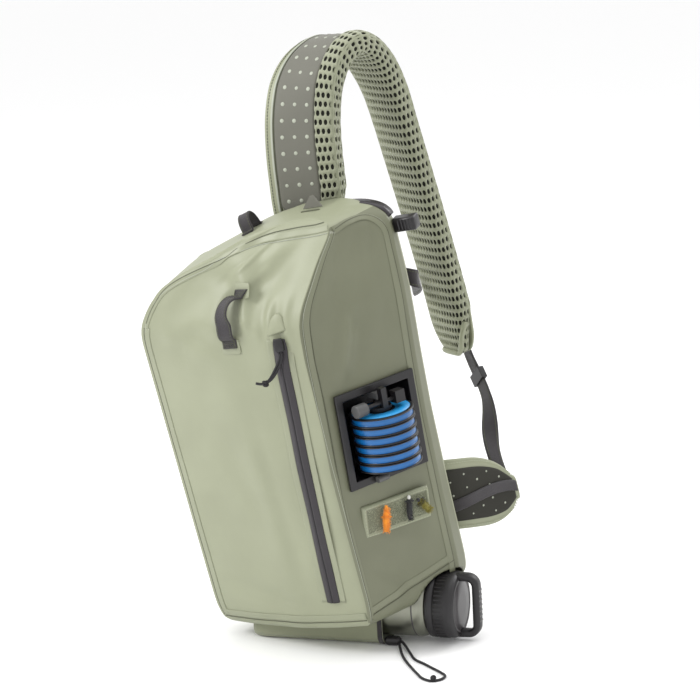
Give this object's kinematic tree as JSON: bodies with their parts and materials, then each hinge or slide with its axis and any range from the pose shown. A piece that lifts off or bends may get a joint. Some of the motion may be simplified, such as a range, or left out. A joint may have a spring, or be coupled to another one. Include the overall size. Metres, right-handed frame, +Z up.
{
  "type": "fishing tackle sling bag",
  "caption": "Welded wedge-shaped sling bag with a padded arch strap, front zip, side port holding tippet spools, fly patch, and a bottle in a sleeve under its base",
  "frame": {"origin": "middle of the base of the whole bag without its cords, on the surface it stands on", "axes": "+Z up, +X along the bottle towards its lid, +Y towards the wearer's back; the bag leans 8.8 degrees to -X and 8.4 degrees to -Y"},
  "size_m": [0.3242, 0.3183, 0.6005],
  "materials": {
    "coated_fabric": "satin coated ripstop, pale sage",
    "sleeve_fabric": "ribbed stretch fabric, pale sage",
    "spacer_mesh": "open spacer mesh, pale sage",
    "webbing": "woven charcoal webbing",
    "zip_tape": "rubbery coated zip tape",
    "cord": "braided black cord",
    "felt": "felted olive wool",
    "black_plastic": "moulded black plastic",
    "gray_plastic": "moulded gray plastic",
    "spool_plastic": "blue spools with black flanges",
    "lid_plastic": "moulded dark gray plastic",
    "steel": "brushed greenish steel",
    "orange_fluff": "orange tied feather",
    "black_fluff": "black tied feather",
    "olive_fluff": "olive tied feather"
  },
  "bodies": {
    "bag": {"body_shell": "coated_fabric", "port_frame": "black_plastic", "spool_bar": "black_plastic", "spool_clamp": "black_plastic", "clamp_knob": "gray_plastic", "foot_knob": "gray_plastic", "fly_patch": "felt", "fly_orange": "orange_fluff", "fly_black": "black_fluff", "fly_olive": "olive_fluff", "front_zip": "zip_tape", "front_zip_slider": "black_plastic", "front_zip_hood": "coated_fabric", "front_loop": "webbing", "top_loop": "webbing", "main_zip": "zip_tape", "main_zip_dock": "black_plastic", "back_panel": "spacer_mesh", "strap_shell": "coated_fabric", "strap_pad": "spacer_mesh", "hip_wing": "coated_fabric", "strap_webbing": "webbing", "zip_pull_cord": "cord", "zip_pull_knot": "cord", "webbing_keeper": "black_plastic", "stabilizer_webbing": "webbing", "bottle_sleeve": "sleeve_fabric", "bottle_body": "steel", "bottle_lid": "lid_plastic", "cord_lock": "black_plastic", "drawcord": "cord"},
    "spool_stack": {"spool_1": "spool_plastic", "spool_2": "spool_plastic", "spool_3": "spool_plastic", "spool_4": "spool_plastic", "spool_5": "spool_plastic", "spool_6": "spool_plastic"}
  },
  "joints": [
    {"name": "spool_turn", "type": "hinge", "parent": "bag", "child": "spool_stack", "pos_m": [0.08258, -0.09266, 0.22318], "axis": [-0.0893, -0.105, 0.9905], "continuous": true}
  ]
}
